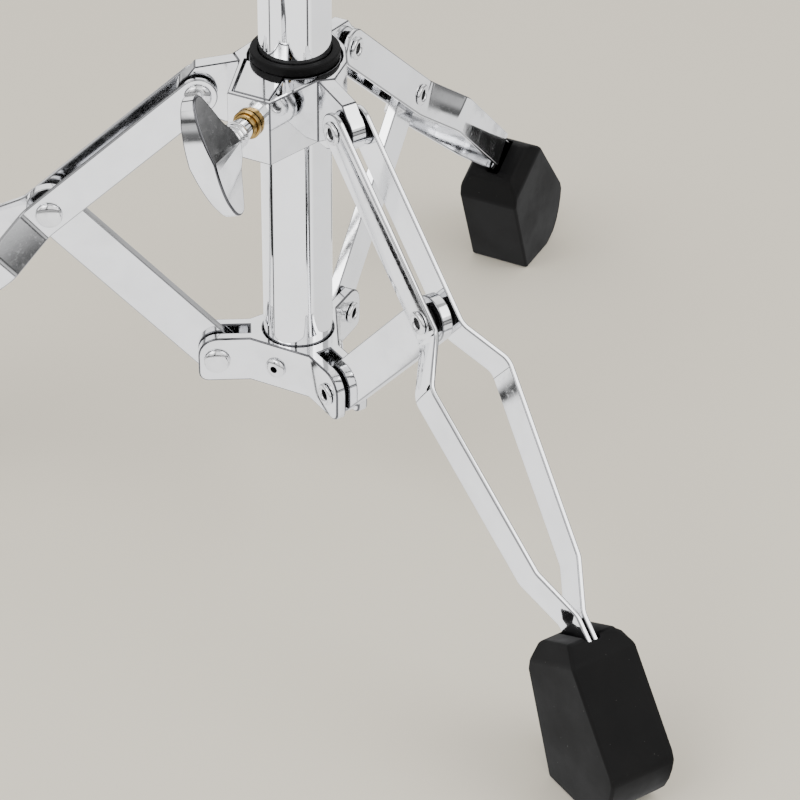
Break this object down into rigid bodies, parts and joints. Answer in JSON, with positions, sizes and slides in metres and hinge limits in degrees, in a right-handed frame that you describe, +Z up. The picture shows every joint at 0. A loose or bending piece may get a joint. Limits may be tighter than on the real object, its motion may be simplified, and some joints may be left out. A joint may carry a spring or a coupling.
{
  "type": "drum hardware tripod base",
  "caption": "Folding tripod base of a double-braced drum hardware stand: chrome tube, sliding leg hub with wing screw, twin-strip legs, flat braces and rubber feet.",
  "frame": {"origin": "middle of the bounding box, on the floor under the feet", "axes": "+Z up along the tube; the left leg points to -X, the front leg to +X-Y and the rear leg to +X+Y"},
  "size_m": [0.3754, 0.4326, 0.56],
  "materials": {
    "chrome": "polished chrome plate on steel and die castings",
    "rubber": "matte black moulded rubber",
    "black_nylon": "satin black nylon",
    "brass": "turned brass, bright"
  },
  "bodies": {
    "stand_base": {"base_tube": "chrome", "tube_end_plug": "black_nylon", "lower_hub": "chrome", "panel_rivet_front_left": "chrome", "panel_rivet_right": "chrome", "panel_rivet_rear_left": "chrome", "left_clevis_rivet": "chrome", "front_clevis_rivet": "chrome", "rear_clevis_rivet": "chrome", "clamp_body": "chrome", "clamp_bush": "black_nylon", "clamp_nut": "chrome"},
    "sliding_hub": {"hub_frame": "chrome", "hub_plate": "chrome", "hub_bushing": "black_nylon", "hub_lock_nut": "brass"},
    "hub_lock": {"hub_lock_screw": "chrome", "hub_lock_wing": "chrome"},
    "clamp_lock": {"clamp_screw": "chrome", "clamp_wing": "chrome"},
    "left_leg": {"left_elbow_rivet_dome": "chrome", "left_elbow_rivet_eyelet": "chrome", "left_elbow_washer_dome": "black_nylon", "left_elbow_washer_eyelet": "black_nylon", "left_foot": "rubber", "left_hub_rivet": "chrome", "left_hub_washer_dome": "black_nylon", "left_hub_washer_eyelet": "black_nylon", "left_leg_strip_dome_side": "chrome", "left_leg_strip_eyelet_side": "chrome"},
    "left_brace": {"left_brace": "chrome"},
    "front_leg": {"front_elbow_rivet_dome": "chrome", "front_elbow_rivet_eyelet": "chrome", "front_elbow_washer_dome": "black_nylon", "front_elbow_washer_eyelet": "black_nylon", "front_foot": "rubber", "front_hub_rivet": "chrome", "front_hub_washer_dome": "black_nylon", "front_hub_washer_eyelet": "black_nylon", "front_leg_strip_dome_side": "chrome", "front_leg_strip_eyelet_side": "chrome"},
    "front_brace": {"front_brace": "chrome"},
    "rear_leg": {"rear_elbow_rivet_dome": "chrome", "rear_elbow_rivet_eyelet": "chrome", "rear_elbow_washer_dome": "black_nylon", "rear_elbow_washer_eyelet": "black_nylon", "rear_foot": "rubber", "rear_hub_rivet": "chrome", "rear_hub_washer_dome": "black_nylon", "rear_hub_washer_eyelet": "black_nylon", "rear_leg_strip_dome_side": "chrome", "rear_leg_strip_eyelet_side": "chrome"},
    "rear_brace": {"rear_brace": "chrome"}
  },
  "joints": [
    {"name": "hub_slide", "type": "slide", "parent": "stand_base", "child": "sliding_hub", "axis": [0, 0, 1], "range_m": [0, 0.052]},
    {"name": "left_leg_hinge", "type": "hinge", "parent": "sliding_hub", "child": "left_leg", "pos_m": [0.01945, 0, 0.2], "axis": [0, -1, 0], "range_deg": [0, 44]},
    {"name": "left_brace_hinge", "type": "hinge", "parent": "stand_base", "child": "left_brace", "pos_m": [0.0238, 0, 0.0746], "axis": [0, -1, 0], "range_deg": [-35.1, 0]},
    {"name": "front_leg_hinge", "type": "hinge", "parent": "sliding_hub", "child": "front_leg", "pos_m": [0.07698, -0.03321, 0.2], "axis": [0.866, 0.5, 0], "range_deg": [0, 44]},
    {"name": "front_brace_hinge", "type": "hinge", "parent": "stand_base", "child": "front_brace", "pos_m": [0.0748, -0.02944, 0.0746], "axis": [0.866, 0.5, 0], "range_deg": [-35.1, 0]},
    {"name": "rear_leg_hinge", "type": "hinge", "parent": "sliding_hub", "child": "rear_leg", "pos_m": [0.07698, 0.03321, 0.2], "axis": [-0.866, 0.5, 0], "range_deg": [0, 44]},
    {"name": "rear_brace_hinge", "type": "hinge", "parent": "stand_base", "child": "rear_brace", "pos_m": [0.0748, 0.02944, 0.0746], "axis": [-0.866, 0.5, 0], "range_deg": [-35.1, 0]},
    {"name": "hub_lock_turn", "type": "hinge", "parent": "sliding_hub", "child": "hub_lock", "pos_m": [0.03895, -0.03265, 0.2029], "axis": [-0.5, -0.866, 0], "range_deg": [0, 450]},
    {"name": "clamp_lock_turn", "type": "hinge", "parent": "stand_base", "child": "clamp_lock", "pos_m": [0.0453, -0.02165, 0.5412], "axis": [0.866, -0.5, 0], "range_deg": [0, 450]}
  ],
  "couplings": [
    {"joint": "left_leg_hinge", "follows": "hub_slide", "rad_per_m": 14.765},
    {"joint": "left_brace_hinge", "follows": "hub_slide", "rad_per_m": -11.761},
    {"joint": "front_leg_hinge", "follows": "hub_slide", "rad_per_m": 14.765},
    {"joint": "front_brace_hinge", "follows": "hub_slide", "rad_per_m": -11.761},
    {"joint": "rear_leg_hinge", "follows": "hub_slide", "rad_per_m": 14.765},
    {"joint": "rear_brace_hinge", "follows": "hub_slide", "rad_per_m": -11.761}
  ]
}
